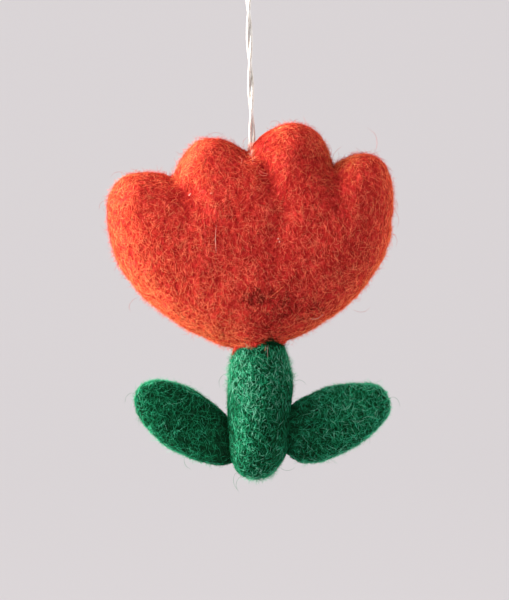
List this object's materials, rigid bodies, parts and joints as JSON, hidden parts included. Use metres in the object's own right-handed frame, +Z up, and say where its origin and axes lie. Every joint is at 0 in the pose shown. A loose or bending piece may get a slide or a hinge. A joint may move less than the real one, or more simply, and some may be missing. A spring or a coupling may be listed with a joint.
{
  "type": "felt flower ornament",
  "caption": "Needle-felted tulip-like flower with rounded petals, a short stem and side leaves, hung by a doubled cotton cord that lets it twirl and nod.",
  "frame": {"origin": "the place inside the top of the cord's eye where it rests on a hook", "axes": "+Z up along the hanging cord, +X to the right as seen from the front, the front face looks along -Y"},
  "size_m": [0.0798, 0.0254, 0.1584],
  "materials": {
    "felt_red": "dyed orange-red needle felt, fuzzy and matt",
    "felt_green": "dyed green needle felt, fuzzy and matt",
    "core_wool": "undyed matted core wool",
    "cotton_cord": "off-white twisted cotton, matt"
  },
  "bodies": {
    "hanging_loop": {"cord_eye": "cotton_cord"},
    "cord_legs": {"cord_leg_left": "cotton_cord", "cord_leg_right": "cotton_cord"},
    "flower": {"cord_anchor": "cotton_cord", "blossom_skin": "felt_red", "petal_core_far_left": "core_wool", "petal_core_mid_left": "core_wool", "petal_core_mid_right": "core_wool", "petal_core_far_right": "core_wool", "leaf_left": "felt_green", "leaf_right": "felt_green", "stem": "felt_green"}
  },
  "joints": [
    {"name": "cord_twirl", "type": "hinge", "parent": "hanging_loop", "child": "cord_legs", "pos_m": [0, 0, -0.02], "axis": [0, 0, 1], "range_deg": [-180, 180]},
    {"name": "flower_swing", "type": "hinge", "parent": "cord_legs", "child": "flower", "pos_m": [0, 0, -0.062], "axis": [1, 0, 0], "range_deg": [-75, 75]}
  ]
}
